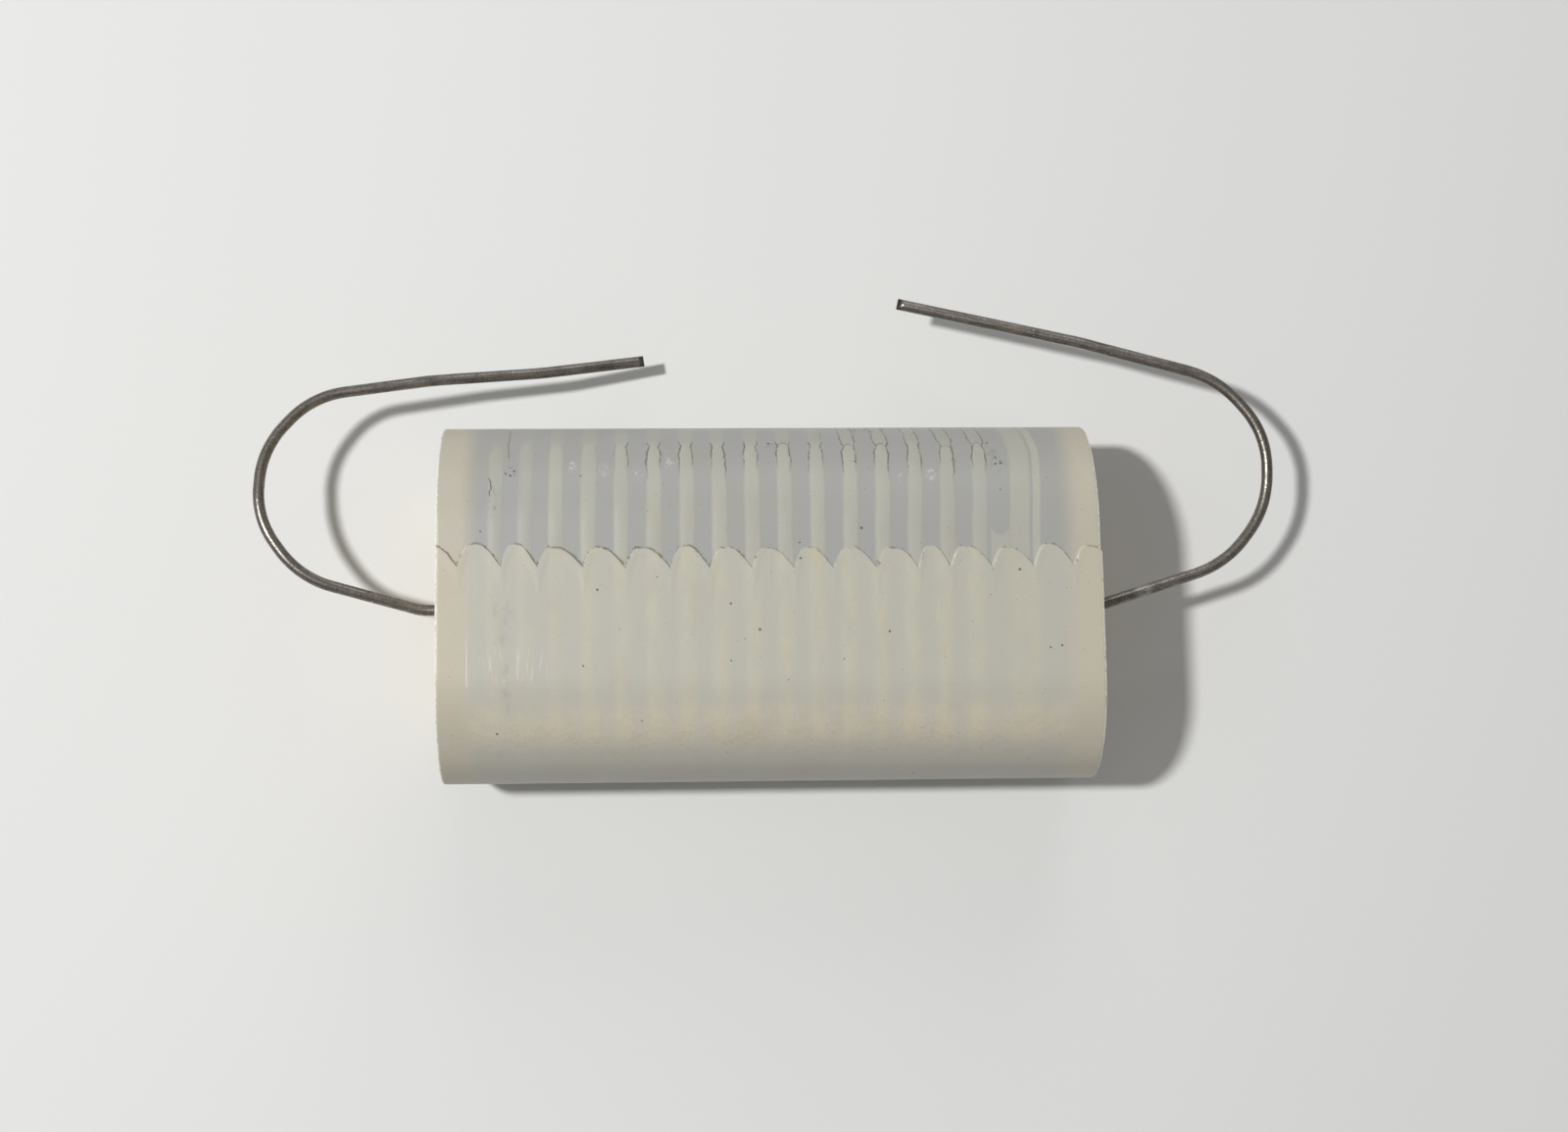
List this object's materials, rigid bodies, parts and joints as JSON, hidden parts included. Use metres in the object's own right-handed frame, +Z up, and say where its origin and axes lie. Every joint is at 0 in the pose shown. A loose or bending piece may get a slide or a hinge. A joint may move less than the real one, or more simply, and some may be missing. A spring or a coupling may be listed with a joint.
{
  "type": "axial film capacitor",
  "caption": "Oval axial film capacitor: a wound film roll in a tape wrap with resin-filled ends and a bent tinned wire lead from each end, for soldering into a circuit.",
  "frame": {"origin": "middle of the flat face that the body lies on", "axes": "+X along the body from the left lead to the right one, +Y towards the side that both leads are bent to, +Z up out of the flat it lies on"},
  "size_m": [0.0734, 0.0351, 0.0155],
  "materials": {
    "tape": "satin polyester tape, cream to grey, slightly see-through",
    "film": "metallised film, wound and pressed flat",
    "sprayed_metal": "sprayed zinc, grainy and dull",
    "lead_wire": "tinned copper wire, dulled, with bright rubbed streaks",
    "solder": "solder, smooth and dull",
    "resin": "cast resin, yellowish cream"
  },
  "bodies": {
    "root": {"tape_wrap": "tape", "film_roll": "film", "end_spray_left": "sprayed_metal", "end_spray_right": "sprayed_metal", "lead_left": "lead_wire", "lead_right": "lead_wire", "solder_left": "solder", "solder_right": "solder", "end_fill_left": "resin", "end_fill_right": "resin"}
  },
  "joints": []
}
